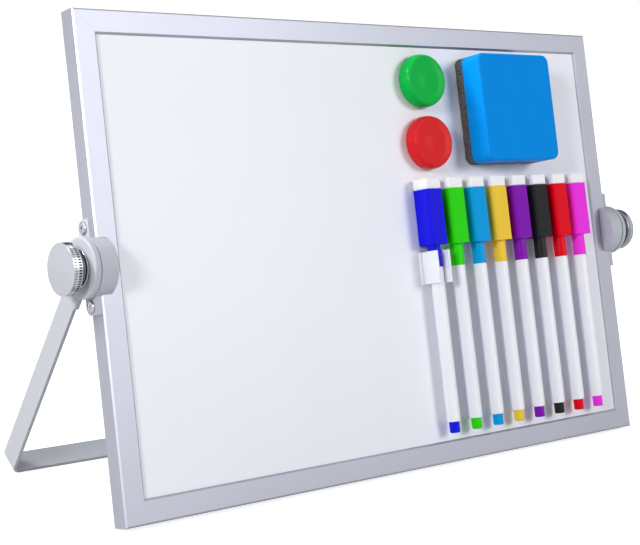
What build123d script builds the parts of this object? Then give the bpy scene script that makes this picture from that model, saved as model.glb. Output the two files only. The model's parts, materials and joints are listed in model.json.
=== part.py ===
from build123d import *
import math
import os

# A two-sided magnetic whiteboard in a mitred aluminium frame. It turns about its middle
# between the legs of a U-shaped flat-bar stand, and a knurled thumb knob on each side
# clamps it. Two button magnets, an eraser and eight capped markers sit on the front face,
# and a spring clip holds the first marker.
#
# Board frame: X runs along the pivot axis, +Y from the front face to the back, +Z up the
# board, and the origin is where the pivot axis crosses the middle of the board.
# Panel frame, for what sits on the front face: x right, y up, z out from the face.
# Side pieces are made for the right-hand side and mirrored for the left.
# Sizes are in millimetres and angles in degrees.

# Frame of the board
board_width = 304.8
board_height = 203.2
frame_depth = 9.3
rail_face = 10.0
rail_wall = 1.0
chamber_width = 3.4
lip_thickness = 1.1
rail_edge_chamfer = 0.7
lip_chamfer = 0.8
key_leg = 24.0
key_clearance = 0.1

# Writing panel, held in the frame's slot
sheet_thickness = 0.5
panel_gap = 0.05
panel_edge_gap = 0.3

# Saddle that grips each side rail
saddle_radius = 12.1
saddle_reach = 4.8
saddle_plate = 3.3
saddle_edge = 0.4
saddle_fit = 0.05
ear_width = 7.8
ear_reach = 18.8
ear_thickness = 2.4
ear_back_radius = 3.4
ear_front_radius = 0.6
insert_radius = 3.4
insert_depth = 3.2
insert_fit = 0.05

# Ear screws
ear_screw_offset = 15.4
screw_radius = 1.4
screw_fit = 0.05
screw_length = 5.2
screw_head_radius = 2.6
screw_head_height = 0.95
screw_head_round = 0.55
recess_span = 2.8
recess_width = 0.7
recess_depth = 0.6

# Stand: a flat bar bent into a U, with a round hub on each end
bar_width = 10.0
bar_thickness = 1.5
bar_clearance = 4.2
bar_bend_radius = 2.0
leg_reach = 108.0
leg_end_radius = 5.0
leg_spread = 45.0
hub_radius = 12.3
hub_gap = 0.3
hub_thickness = 2.55
hub_round = 0.85
hub_pocket_fit = 0.05
neck_reach = 16.5
neck_wall = 0.6

# Thumb knob with its stud, and the collar under it
stud_radius = 2.5
stud_fit = 0.08
thread_fit = 0.05
stud_depth = 2.8
stud_chamfer = 0.4
collar_height = 4.15
collar_flange_radius = 7.7
collar_flange_height = 0.7
collar_base_radius = 7.0
collar_top_radius = 6.2
knob_radius = 10.4
knob_height = 3.9
knob_face_chamfer = 0.5
knob_back_chamfer = 0.3
notch_count = 60
notch_width = 0.55
notch_length = 1.2
notch_depth = 0.6
notch_offset = 0.45
seat_gap = 0.05

# Button magnets
magnet_radius = 12.6
magnet_height = 7.2
magnet_shoulder = 3.2
magnet_foot_round = 2.2
magnet_dish_radius = 9.2
magnet_dish_depth = 0.6
magnet_top_margin = 3.9
magnet_pitch = 29.0
magnet_eraser_gap = 13.3
magnet_disc_radius = 9.0
magnet_disc_height = 3.0
disc_fit = 0.1

# Eraser: a moulded block on a felt sole
eraser_width = 49.6
eraser_height = 51.4
eraser_corner = 4.0
eraser_edge = 1.2
eraser_top_margin = 4.8
eraser_side_margin = 37.1
felt_thickness = 5.0
felt_edge = 0.4
block_thickness = 11.0
eraser_magnet_width = 14.0
eraser_magnet_height = 36.0
eraser_magnet_thickness = 2.0

# Markers, hung in a row by their caps
inks = ("blue", "green", "cyan", "yellow", "purple", "black", "red", "magenta")
marker_pitch = 14.4
marker_side_margin = 18.1
marker_bottom_margin = 3.55
marker_eraser_gap = 6.5
barrel_radius = 3.1
barrel_wall = 0.8
nose_radius = 2.4
nose_length = 8.6
nose_tip_radius = 1.3
nose_tip_length = 3.2
nib_radius = 0.9
nib_length = 2.6
plug_radius = 2.4
plug_length = 5.2
plug_chamfer = 0.4
plug_spigot_length = 6.0
skirt_length = 10.1
skirt_fit = 0.08
cap_width = 10.0
cap_length = 25.7
cap_edge = 0.9
cap_space = 2.0
pad_width = 9.3
pad_height = 5.0
pad_edge = 0.4
cap_magnet_width = 6.0
cap_magnet_length = 4.0

# Clip that holds the first marker
clip_gap = 1.2
clip_height = 16.4
clip_wall = 2.1
clip_slot_fit = 0.35
clip_wall_reach = 12.5
clip_floor_fit = 0.3
clip_groove_height = 3.2
clip_groove_width = 0.5
clip_groove_depth = 0.3
clip_round = 0.4
clip_magnet_thickness = 0.8
clip_magnet_margin = 1.2

# Places that follow from the sizes above
side_x = board_width / 2
half_depth = frame_depth / 2
half_slot = half_depth - lip_thickness
slot_start = 2 * rail_wall + chamber_width
panel_front = -half_slot + panel_gap
panel_right = side_x - rail_face
panel_top = board_height / 2 - rail_face
hub_back_x = side_x + saddle_plate + hub_gap
hub_face_x = hub_back_x + hub_thickness
collar_x = hub_face_x + seat_gap
knob_back_x = collar_x + collar_height + seat_gap
bar_inner_x = side_x + bar_clearance
bar_outer_x = bar_inner_x + bar_thickness
eraser_x = panel_right - eraser_side_margin - eraser_width / 2
eraser_y = panel_top - eraser_top_margin - eraser_height / 2
magnet_x = eraser_x - eraser_width / 2 - magnet_eraser_gap - magnet_radius
magnet_y = panel_top - magnet_top_margin - magnet_radius
marker_axis = seat_gap + cap_width / 2
marker_bottom = marker_bottom_margin - panel_top
barrel_bottom = marker_bottom + plug_length
cap_top = eraser_y - eraser_height / 2 - marker_eraser_gap - pad_height
cap_bottom = cap_top - cap_length
barrel_top = cap_bottom - skirt_length - seat_gap
nose_top = barrel_top + nose_length
nib_top = nose_top + nose_tip_length + nib_length
first_marker_x = panel_right - marker_side_margin - (len(inks) - 1) * marker_pitch


def block(x_range, y_range, z_range):
    """Return a box given by its lowest and highest value along each axis."""
    spans = (x_range, y_range, z_range)
    size = [high - low for low, high in spans]
    centre = [(low + high) / 2 for low, high in spans]
    return Pos(*centre) * Box(*size)


def turned(points, axis):
    """Return the solid that a closed outline of (radius, height) points sweeps about an axis."""
    face = make_face(Polyline(*[(radius, 0, height) for radius, height in points], close=True))
    solid = revolve(face, Axis.Z)
    return axis * solid


def along_x(x):
    """Return the place whose Z axis points along +X, at x on the pivot axis."""
    return Location(Plane(origin=(x, 0, 0), x_dir=(0, 1, 0), z_dir=(1, 0, 0)))


def on_panel(x, y):
    """Return the panel frame at a point of the front face."""
    return Location(Plane(origin=(x, panel_front, y), x_dir=(1, 0, 0), z_dir=(0, -1, 0)))


def up_the_panel(height):
    """Return the place in the panel frame whose Z axis runs up the board, at a height above it."""
    return Location(Plane(origin=(0, 0, height), x_dir=(1, 0, 0), z_dir=(0, 1, 0)))


def both_sides(solid):
    """Return the left and right copies of a piece made for the right-hand side."""
    return mirror(solid, about=Plane.YZ), solid


def rail_section():
    """Return the extrusion's section: x runs inward from the outer side, y through the depth."""
    outline = Polygon(
        (rail_edge_chamfer, -half_depth),
        (rail_face - lip_chamfer, -half_depth),
        (rail_face, -half_depth + lip_chamfer),
        (rail_face, half_depth - lip_chamfer),
        (rail_face - lip_chamfer, half_depth),
        (rail_edge_chamfer, half_depth),
        (0, half_depth - rail_edge_chamfer),
        (0, -half_depth + rail_edge_chamfer),
        align=None,
    )
    chamber = Pos(rail_wall + chamber_width / 2, 0) * Rectangle(
        chamber_width, frame_depth - 2 * rail_wall
    )
    slot_width = rail_face - slot_start
    slot = Pos(slot_start + slot_width / 2, 0) * Rectangle(slot_width, 2 * half_slot)
    return outline - chamber - slot


def rail(length):
    """Return a mitred rail that stands along Z with its outer side at x = 0."""
    bar = extrude(rail_section(), amount=length / 2, both=True)
    mitre = Polygon(
        (0, -length / 2),
        (rail_face, rail_face - length / 2),
        (rail_face, length / 2 - rail_face),
        (0, length / 2),
        align=None,
    )
    mitre_block = extrude(Plane.XZ * mitre, amount=frame_depth, both=True)
    return bar & mitre_block


def side_rail():
    """Return the right-hand rail, with its holes for the insert and the ear screws."""
    solid = Pos(side_x, 0, 0) * Rot(Z=180) * rail(board_height)
    solid -= along_x(side_x) * Cylinder(insert_radius + insert_fit, 3 * rail_wall)
    for sign in (-1, 1):
        screw_hole = Cylinder(screw_radius + screw_fit, 3 * rail_wall)
        solid -= Pos(0, 0, sign * ear_screw_offset) * along_x(side_x) * screw_hole
    return solid


def corner_keys():
    """Return the four L-shaped keys that join the rails at the mitres."""
    inner = rail_wall + key_clearance / 2
    thick = chamber_width - key_clearance
    deep = half_depth - rail_wall - key_clearance / 2
    right = side_x - inner
    top = board_height / 2 - inner
    upright = block((right - thick, right), (-deep, deep), (top - key_leg, top))
    level = block((right - key_leg, right), (-deep, deep), (top - thick, top))
    key = upright + level
    lower = mirror(key, about=Plane.XY)
    corners = [key, lower, mirror(key, about=Plane.YZ), mirror(lower, about=Plane.YZ)]
    return Compound([corner.solid() for corner in corners])


def panel_layer(front, back):
    """Return a full-size layer of the panel between two depths."""
    half_width = side_x - slot_start - panel_edge_gap
    half_height = board_height / 2 - slot_start - panel_edge_gap
    return block((-half_width, half_width), (front, back), (-half_height, half_height))


def saddle():
    """Return the casting that straddles the side rail, with an ear above and below."""
    length = saddle_reach + saddle_plate
    drum = along_x(side_x - saddle_reach) * Cylinder(
        saddle_radius, length, align=(Align.CENTER, Align.CENTER, Align.MIN)
    )
    drum = chamfer(drum.edges().filter_by(GeomType.CIRCLE), saddle_edge)
    half_fit = half_depth + saddle_fit
    gap = block(
        (side_x - 2 * saddle_reach, side_x + saddle_fit),
        (-half_fit, half_fit),
        (-2 * saddle_radius, 2 * saddle_radius),
    )
    ear_start = side_x + saddle_fit
    solid = drum - gap
    for sign in (-1, 1):
        ear = block(
            (ear_start, side_x + ear_thickness),
            (-ear_width / 2, ear_width / 2),
            (0, ear_reach),
        )
        tip_edges = ear.edges().filter_by(Axis.X).group_by(Axis.Z)[-1].sort_by(Axis.Y)
        ear = fillet(tip_edges[-1], ear_back_radius)
        tip_edges = ear.edges().filter_by(Axis.X).group_by(Axis.Y)[0].sort_by(Axis.Z)
        ear = fillet(tip_edges[-1], ear_front_radius)
        solid += ear if sign > 0 else mirror(ear, about=Plane.XY)
    solid -= along_x(side_x) * Cylinder(insert_radius + insert_fit, 4 * saddle_plate)
    for sign in (-1, 1):
        hole = Cylinder(screw_radius + screw_fit, 4 * ear_thickness)
        solid -= Pos(0, 0, sign * ear_screw_offset) * along_x(side_x) * hole
    return solid


def threaded_insert():
    """Return the brass insert in the saddle and the rail that takes the knob's stud."""
    length = insert_depth + saddle_plate
    tube = Cylinder(insert_radius, length) - Cylinder(stud_radius + thread_fit, length)
    return along_x(side_x + saddle_plate - length / 2) * tube


def ear_screw():
    """Return a pan-head screw with a cross recess, its head's seat at z = 0."""
    head = Cylinder(
        screw_head_radius, screw_head_height, align=(Align.CENTER, Align.CENTER, Align.MIN)
    )
    head = fillet(head.edges().group_by(Axis.Z)[-1], screw_head_round)
    for angle in (0, 90):
        slot = Pos(0, 0, screw_head_height) * Box(recess_span, recess_width, 2 * recess_depth)
        head -= Rot(Z=angle) * slot
    shank = Cylinder(screw_radius, screw_length, align=(Align.CENTER, Align.CENTER, Align.MAX))
    return head + shank


def ear_screws():
    """Return the four screws that hold the two saddles on the side rails."""
    screws = []
    for sign in (-1, 1):
        place = Pos(0, 0, sign * ear_screw_offset) * along_x(side_x + ear_thickness)
        screws.extend(both_sides(place * ear_screw()))
    return Compound([screw.solid() for screw in screws])


def stand_bar():
    """Return the U-shaped bar with its legs hanging straight down from the pivot axis."""
    outer_radius = bar_bend_radius + bar_thickness
    outline = block(
        (-bar_outer_x, bar_outer_x), (-bar_width / 2, bar_width / 2), (-leg_reach, leg_end_radius)
    )
    outline = fillet(outline.edges().filter_by(Axis.Y).group_by(Axis.Z)[0], outer_radius)
    hollow = block(
        (-bar_inner_x, bar_inner_x), (-bar_width, bar_width), (bar_thickness - leg_reach, board_height)
    )
    hollow = fillet(hollow.edges().filter_by(Axis.Y).group_by(Axis.Z)[0], bar_bend_radius)
    solid = outline - hollow
    leg_ends = solid.edges().filter_by(Axis.X).group_by(Axis.Z)[-1]
    end_round = min(leg_end_radius, 0.49 * bar_width)
    solid = fillet(leg_ends, end_round)
    return solid - along_x(0) * Cylinder(stud_radius + stud_fit, 4 * bar_outer_x)


def hub():
    """Return the round hub that carries one end of the bar, with the neck that grips it."""
    disc = along_x(hub_back_x) * Cylinder(
        hub_radius, hub_thickness, align=(Align.CENTER, Align.CENTER, Align.MIN)
    )
    disc = fillet(disc.edges().filter_by(GeomType.CIRCLE).group_by(Axis.X)[-1], hub_round)
    half_neck = bar_width / 2 + neck_wall
    solid = disc + block((hub_back_x, bar_outer_x), (-half_neck, half_neck), (-neck_reach, 0))
    half_pocket = bar_width / 2 + hub_pocket_fit
    pocket = block(
        (bar_inner_x - hub_pocket_fit, bar_outer_x + hub_pocket_fit),
        (-half_pocket, half_pocket),
        (-2 * neck_reach, leg_end_radius + hub_pocket_fit),
    )
    return solid - pocket - along_x(side_x) * Cylinder(stud_radius + stud_fit, 4 * hub_radius)


def collar():
    """Return the chromed collar between the hub and the knob."""
    bore = stud_radius + stud_fit
    points = [
        (bore, 0),
        (collar_flange_radius, 0),
        (collar_flange_radius, collar_flange_height),
        (collar_base_radius, collar_flange_height),
        (collar_top_radius, collar_height),
        (bore, collar_height),
    ]
    return turned(points, along_x(collar_x))


def knob():
    """Return the knob head with its ring of notches and the stud under it."""
    stud_start = side_x - stud_depth - knob_back_x
    points = [
        (0, stud_start),
        (stud_radius - stud_chamfer, stud_start),
        (stud_radius, stud_start + stud_chamfer),
        (stud_radius, 0),
        (knob_radius - knob_back_chamfer, 0),
        (knob_radius, knob_back_chamfer),
        (knob_radius, knob_height - knob_face_chamfer),
        (knob_radius - knob_face_chamfer, knob_height),
        (0, knob_height),
    ]
    solid = turned(points, Location())
    notch = Box(2 * notch_depth, notch_width, notch_length)
    ring = Pos(0, 0, notch_offset + notch_length / 2)
    solid -= [ring * place * notch for place in PolarLocations(knob_radius, notch_count)]
    return along_x(knob_back_x) * solid


def button_magnet():
    """Return a magnet's round plastic button in the panel frame, hollow for its disc."""
    body = Pos(0, 0, seat_gap) * Cylinder(
        magnet_radius, magnet_height, align=(Align.CENTER, Align.CENTER, Align.MIN)
    )
    body = fillet(body.edges().group_by(Axis.Z)[-1], magnet_shoulder)
    body = fillet(body.edges().group_by(Axis.Z)[0], magnet_foot_round)
    dish_ball = (magnet_dish_radius**2 + magnet_dish_depth**2) / (2 * magnet_dish_depth)
    dish_centre = seat_gap + magnet_height - magnet_dish_depth + dish_ball
    body -= Pos(0, 0, dish_centre) * Sphere(dish_ball)
    pocket = Cylinder(magnet_disc_radius + disc_fit, 2 * (magnet_disc_height + disc_fit + seat_gap))
    return body - pocket


def magnet_disc():
    """Return the disc that a button holds against the panel."""
    return Pos(0, 0, seat_gap) * Cylinder(
        magnet_disc_radius, magnet_disc_height, align=(Align.CENTER, Align.CENTER, Align.MIN)
    )


def eraser_plan(low, high):
    """Return a layer of the eraser with its four corners rounded."""
    layer = block(
        (-eraser_width / 2, eraser_width / 2), (-eraser_height / 2, eraser_height / 2), (low, high)
    )
    return fillet(layer.edges().filter_by(Axis.Z), eraser_corner)


def eraser_magnet(grow=0.0):
    """Return the bar magnet in the back of the block, or its pocket if grown."""
    low = seat_gap + felt_thickness
    return block(
        (-eraser_magnet_width / 2 - grow, eraser_magnet_width / 2 + grow),
        (-eraser_magnet_height / 2 - grow, eraser_magnet_height / 2 + grow),
        (low - grow, low + eraser_magnet_thickness + grow),
    )


def eraser_block():
    """Return the moulded grip of the eraser."""
    low = seat_gap + felt_thickness
    solid = eraser_plan(low, low + block_thickness)
    solid = fillet(solid.edges().group_by(Axis.Z)[-1], eraser_edge)
    return solid - eraser_magnet(grow=disc_fit)


def eraser_felt():
    """Return the felt sole of the eraser."""
    solid = eraser_plan(seat_gap, seat_gap + felt_thickness)
    return chamfer(solid.edges().group_by(Axis.Z)[0], felt_edge)


def marker_barrel():
    """Return a marker's tube with its nose and nib, at its height on the board."""
    tip_top = nose_top + nose_tip_length
    bore = barrel_radius - barrel_wall
    points = [
        (bore, barrel_bottom),
        (barrel_radius, barrel_bottom),
        (barrel_radius, barrel_top),
        (nose_radius, barrel_top),
        (nose_radius, nose_top),
        (nose_tip_radius, tip_top),
        (nib_radius, tip_top),
        (nib_radius, nib_top - nib_radius / 2),
        (nib_radius / 2, nib_top),
        (0, nib_top),
        (0, barrel_top - barrel_wall),
        (bore, barrel_top - barrel_wall),
    ]
    return turned(points, up_the_panel(marker_axis))


def marker_plug():
    """Return the coloured plug that closes a marker's lower end."""
    spigot = barrel_radius - barrel_wall
    points = [
        (0, marker_bottom),
        (plug_radius - plug_chamfer, marker_bottom),
        (plug_radius, marker_bottom + plug_chamfer),
        (plug_radius, barrel_bottom),
        (spigot, barrel_bottom),
        (spigot, barrel_bottom + plug_spigot_length),
        (0, barrel_bottom + plug_spigot_length),
    ]
    return turned(points, up_the_panel(marker_axis))


def marker_cap():
    """Return a square cap with its round skirt, bored for the marker's nose."""
    half = cap_width / 2
    head = block((-half, half), (cap_bottom, cap_top), (seat_gap, seat_gap + cap_width))
    head = chamfer(head.edges().filter_by(Axis.Y), cap_edge)
    skirt_bottom = barrel_top + seat_gap
    skirt = Pos(0, 0, skirt_bottom) * Cylinder(
        barrel_radius, skirt_length + cap_edge, align=(Align.CENTER, Align.CENTER, Align.MIN)
    )
    bore_length = nib_top + cap_space - skirt_bottom
    bore = Pos(0, 0, skirt_bottom - seat_gap) * Cylinder(
        nose_radius + skirt_fit,
        bore_length + seat_gap,
        align=(Align.CENTER, Align.CENTER, Align.MIN),
    )
    place = up_the_panel(marker_axis)
    return head + place * skirt - place * bore - cap_magnet(grow=disc_fit)


def cap_magnet(grow=0.0):
    """Return the block magnet in the top of a cap, or its pocket if grown."""
    half = cap_magnet_width / 2 + grow
    return block(
        (-half, half),
        (cap_top - cap_magnet_length - grow, cap_top + grow),
        (marker_axis - half, marker_axis + half),
    )


def cap_pad():
    """Return the square wiping pad on top of a cap and the magnet that it covers."""
    half = pad_width / 2
    depth = (marker_axis - half, marker_axis + half)
    pad = block((-half, half), (cap_top, cap_top + pad_height), depth)
    pad = chamfer(pad.edges().filter_by(Axis.Y), pad_edge)
    return Compound([pad.solid(), cap_magnet().solid()])


def clip_span():
    """Return the clip's lowest and highest place on the board."""
    top = cap_bottom - clip_gap
    return top - clip_height, top


def clip_magnet(grow=0.0):
    """Return the flat magnet under the clip's floor, or its pocket if grown."""
    bottom, top = clip_span()
    half = barrel_radius + clip_slot_fit + clip_wall - clip_magnet_margin + grow
    return block(
        (-half, half),
        (bottom + clip_magnet_margin - grow, top - clip_magnet_margin + grow),
        (seat_gap - grow, seat_gap + clip_magnet_thickness + grow),
    )


def pen_clip():
    """Return the U-shaped clip, open to the front, with the groove round its base."""
    bottom, top = clip_span()
    half_slot_width = barrel_radius + clip_slot_fit
    half = half_slot_width + clip_wall
    floor_top = marker_axis - barrel_radius - clip_floor_fit
    body = block((-half, half), (bottom, top), (seat_gap, seat_gap + clip_wall_reach))
    slot = block(
        (-half_slot_width, half_slot_width),
        (bottom - clip_wall, top + clip_wall),
        (floor_top, 2 * clip_wall_reach),
    )
    body -= slot
    for sign in (-1, 1):
        groove_x = sign * half
        body -= block(
            (groove_x - clip_groove_depth, groove_x + clip_groove_depth),
            (bottom - clip_wall, top + clip_wall),
            (clip_groove_height, clip_groove_height + clip_groove_width),
        )
    body = fillet(body.edges().filter_by(Axis.Y).group_by(Axis.Z)[-1], clip_round)
    return body - clip_magnet(grow=disc_fit)


def board_nodes():
    """Return the frame, the panel and what is fixed to them."""
    left_rail, right_rail = both_sides(side_rail())
    left_saddle, right_saddle = both_sides(saddle())
    inserts = both_sides(threaded_insert())
    level_rail = rail(board_width)
    sheet_back = panel_front + sheet_thickness
    return {
        "frame_rail_left": left_rail,
        "frame_rail_right": right_rail,
        "frame_rail_top": Pos(0, 0, board_height / 2) * Rot(Y=90) * level_rail,
        "frame_rail_bottom": Pos(0, 0, -board_height / 2) * Rot(Y=-90) * level_rail,
        "corner_keys": corner_keys(),
        "front_sheet": panel_layer(panel_front, sheet_back),
        "core_board": panel_layer(sheet_back, -sheet_back),
        "back_sheet": panel_layer(-sheet_back, -panel_front),
        "saddle_left": left_saddle,
        "saddle_right": right_saddle,
        "pivot_inserts": Compound([insert.solid() for insert in inserts]),
        "ear_screws": ear_screws(),
    }


def stand_nodes():
    """Return the bar and its hubs, swung back from the board by the spread angle."""
    swing = Rot(X=leg_spread)
    left_hub, right_hub = both_sides(hub())
    return {
        "stand_bar": swing * stand_bar(),
        "hub_left": swing * left_hub,
        "hub_right": swing * right_hub,
    }


def knob_nodes():
    """Return the knobs and their collars."""
    left_collar, right_collar = both_sides(collar())
    left_knob, right_knob = both_sides(knob())
    return {
        "collar_left": left_collar,
        "collar_right": right_collar,
        "knob_left": left_knob,
        "knob_right": right_knob,
    }


def accessory_nodes():
    """Return the magnets, the eraser and the clip."""
    eraser_place = on_panel(eraser_x, eraser_y)
    clip_place = on_panel(first_marker_x, 0)
    nodes = {}
    for row, colour in enumerate(("green", "red")):
        place = on_panel(magnet_x, magnet_y - row * magnet_pitch)
        nodes[f"magnet_{colour}"] = place * button_magnet()
        nodes[f"magnet_{colour}_disc"] = place * magnet_disc()
    nodes["eraser_block"] = eraser_place * eraser_block()
    nodes["eraser_felt"] = eraser_place * eraser_felt()
    nodes["eraser_magnet"] = eraser_place * eraser_magnet()
    nodes["pen_clip"] = clip_place * pen_clip()
    nodes["clip_magnet"] = clip_place * clip_magnet()
    return nodes


def marker_nodes():
    """Return the four pieces of each marker in the row."""
    barrel = marker_barrel()
    plug = marker_plug()
    cap = marker_cap()
    pad = cap_pad()
    nodes = {}
    for index, ink in enumerate(inks):
        place = on_panel(first_marker_x + index * marker_pitch, 0)
        nodes[f"marker_{ink}_barrel"] = place * barrel
        nodes[f"marker_{ink}_plug"] = place * plug
        nodes[f"marker_{ink}_cap"] = place * cap
        nodes[f"marker_{ink}_pad"] = place * pad
    return nodes


def lean_angle():
    """Return how far the board leans back when its lower edge and the bar both touch the desk."""
    spread = math.radians(leg_spread)
    board_y = half_depth - rail_edge_chamfer
    board_z = -board_height / 2
    bar_y = leg_reach * math.sin(spread) - bar_width / 2 * math.cos(spread)
    bar_z = -leg_reach * math.cos(spread) - bar_width / 2 * math.sin(spread)
    return math.degrees(math.atan2(bar_z - board_z, bar_y - board_y))


def standing(nodes):
    """Return the pieces as they stand on the desk, centred over the origin."""
    leaning = {name: Rot(X=-lean_angle()) * solid for name, solid in nodes.items()}
    bounds = Compound(list(leaning.values())).bounding_box()
    centre = bounds.center()
    shift = Pos(-centre.X, -centre.Y, -bounds.min.Z)
    return {name: shift * solid for name, solid in leaning.items()}


def main():
    """Build every piece and write one STEP file for each."""
    nodes = board_nodes() | stand_nodes() | knob_nodes() | accessory_nodes() | marker_nodes()
    os.makedirs("parts", exist_ok=True)
    for name, solid in standing(nodes).items():
        export_step(solid, f"parts/{name}.step")


main()
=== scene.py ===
"""Looks of a desktop whiteboard easel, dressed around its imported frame.

Every length is in metres. The board's own frame has its origin where the pivot axis crosses
the middle of the board, with x to the right, y from the front to the back and z up the board.
"""

import json
import logging
import math
from dataclasses import dataclass
from enum import Enum
from typing import ClassVar, Sequence

import bmesh
import bpy
from mathutils import Matrix, Vector


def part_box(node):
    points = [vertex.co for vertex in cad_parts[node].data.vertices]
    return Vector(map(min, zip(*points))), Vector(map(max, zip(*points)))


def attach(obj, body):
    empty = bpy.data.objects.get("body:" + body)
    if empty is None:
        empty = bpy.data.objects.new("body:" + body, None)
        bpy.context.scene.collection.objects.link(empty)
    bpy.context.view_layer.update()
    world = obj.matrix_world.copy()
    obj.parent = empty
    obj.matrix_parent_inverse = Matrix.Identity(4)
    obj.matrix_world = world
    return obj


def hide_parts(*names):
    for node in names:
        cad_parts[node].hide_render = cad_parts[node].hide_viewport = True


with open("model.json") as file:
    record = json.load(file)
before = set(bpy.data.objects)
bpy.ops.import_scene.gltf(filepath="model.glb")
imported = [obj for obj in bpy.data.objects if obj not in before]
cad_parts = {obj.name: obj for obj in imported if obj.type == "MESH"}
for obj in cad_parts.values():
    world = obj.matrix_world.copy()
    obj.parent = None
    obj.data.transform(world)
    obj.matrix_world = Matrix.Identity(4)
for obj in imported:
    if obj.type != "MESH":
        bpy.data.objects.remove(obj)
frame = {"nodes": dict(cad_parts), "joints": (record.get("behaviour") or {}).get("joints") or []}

LOG = logging.getLogger("whiteboard_easel")
MM = 0.001
SLACK = 0.02 * MM
CREASE = math.radians(32)
FELT_CREASE = math.radians(60)

Triple = tuple[float, float, float]
Colour = Triple
Span = tuple[float, float]
Profile = list[Span]
Form = bmesh.types.BMesh
Material = bpy.types.Material
Object = bpy.types.Object
Socket = bpy.types.NodeSocket


class Worded(Enum):
    """A choice whose name, in small letters, is part of other names."""

    @property
    def word(self) -> str:
        """The choice's word in other names."""
        return self.name.lower()


class Side(Worded):
    """The two ends of the pivot axis, as the sign of x."""

    LEFT = -1
    RIGHT = 1


class Grain(Worded):
    """The direction in which a metal is brushed, as an axis of the board's frame."""

    ACROSS = 0
    UPRIGHT = 2


class Ink(Worded):
    """The marker colours from left to right, as display values from 0 to 255."""

    BLUE = (22, 20, 222)
    GREEN = (44, 214, 14)
    CYAN = (0, 155, 224)
    YELLOW = (240, 200, 64)
    PURPLE = (128, 18, 176)
    BLACK = (36, 36, 38)
    RED = (226, 0, 28)
    MAGENTA = (238, 52, 226)


def linear(*display: float) -> Colour:
    """Turn a display colour into the light values that a shader takes.

    Args:
        display: Red, green and blue from 0 to 255.

    Returns:
        The same colour in linear light.
    """
    toe_end, toe_slope, offset, power = 0.04045, 12.92, 0.055, 2.4
    parts = []
    for value in display:
        share = value / 255
        if share <= toe_end:
            parts.append(share / toe_slope)
        else:
            parts.append(((share + offset) / (1 + offset)) ** power)
    return parts[0], parts[1], parts[2]


def shade(colour: Colour, amount: float) -> Colour:
    """Return a colour made lighter or darker by a factor."""
    return colour[0] * amount, colour[1] * amount, colour[2] * amount


def joint_named(name: str) -> dict:
    """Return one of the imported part's joints."""
    return next(joint for joint in frame["joints"] if joint["name"] == name)


@dataclass(frozen=True)
class BoardFrame:
    """The board's own frame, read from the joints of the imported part."""

    pivot: Vector
    out: Vector
    up: Vector
    right: ClassVar[Vector] = Vector((1, 0, 0))

    @classmethod
    def read(cls) -> "BoardFrame":
        """Take the frame from the pivot and from the slides along the face and out of it."""
        return cls(
            pivot=Vector(joint_named("stand_tilt")["pos_m"]),
            out=Vector(joint_named("eraser_lift")["axis"]).normalized(),
            up=-Vector(joint_named("marker_green_draw")["axis"]).normalized(),
        )

    @property
    def lean(self) -> float:
        """How far the board leans back from upright, in radians."""
        return math.atan2(self.up.y, self.up.z)

    @property
    def turn(self) -> Matrix:
        """The turn from the board's frame to the world."""
        return Matrix.Rotation(-self.lean, 4, "X")

    def place(self, x: float, y: float, z: float) -> Matrix:
        """Return the matrix that puts a piece's origin at a point of the board's frame."""
        return Matrix.Translation(self.pivot) @ self.turn @ Matrix.Translation((x, y, z))

    def axle(self, side: Side, reach: float) -> Matrix:
        """Return a place on the pivot axis, whose z runs out along the axis."""
        facing = Matrix.Rotation(side.value * math.pi / 2, 4, "Y")
        return self.place(side.value * reach, 0, 0) @ facing

    def panel(self, centre: Vector) -> Matrix:
        """Return a place on the front face, whose x runs right, y up and z out of the face."""
        turn = Matrix((self.right, self.up, self.out)).transposed().to_4x4()
        return Matrix.Translation(centre) @ turn

    def measure(self, node: str) -> tuple[float, float, float, Vector]:
        """Measure a CAD node.

        Args:
            node: The node's name.

        Returns:
            Its width, its height up the board, its depth out of the face, and the point in the
            world under its middle, on the side next to the face.
        """
        spans = []
        for axis in (self.right, self.up, self.out):
            values = [vertex.co.dot(axis) for vertex in frame["nodes"][node].data.vertices]
            spans.append((min(values), max(values)))
        middle = [(low + high) / 2 for low, high in spans]
        centre = self.right * middle[0] + self.up * middle[1] + self.out * spans[2][0]
        width, height, depth = (high - low for low, high in spans)
        return width, height, depth, centre


class Nodes:
    """A node tree, with short calls that add its nodes and feed their sockets."""

    def __init__(self, tree: bpy.types.NodeTree) -> None:
        """Take a tree and empty it."""
        self.tree = tree
        tree.nodes.clear()

    def feed(self, target: Socket, value: object) -> None:
        """Give a socket what it gets.

        Args:
            target: The socket.
            value: The output of another node, or a constant; a colour has three parts.
        """
        if isinstance(value, Socket):
            self.tree.links.new(value, target)
        elif target.type == "RGBA":
            target.default_value = (*value, 1.0)
        else:
            target.default_value = value

    def node(self, kind: str, inputs: dict | None = None, **settings: object) -> bpy.types.Node:
        """Add a node.

        Args:
            kind: The node's type.
            inputs: What its sockets get, by name or number.
            settings: Its properties, which come before its sockets.

        Returns:
            The node.
        """
        made = self.tree.nodes.new(kind)
        for key, value in settings.items():
            setattr(made, key, value)
        for key, value in (inputs or {}).items():
            self.feed(made.inputs[key], value)
        return made

    def add(
        self, kind: str, inputs: dict | None = None, output: str | int = 0, **settings: object
    ) -> Socket:
        """Add a node and return one of its outputs."""
        return self.node(kind, inputs, **settings).outputs[output]

    def math(self, operation: str, first: object, second: object, clamp: bool = False) -> Socket:
        """Work out one value from two, each an output or a constant."""
        values = {0: first, 1: second}
        return self.add("ShaderNodeMath", values, operation=operation, use_clamp=clamp)


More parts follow.
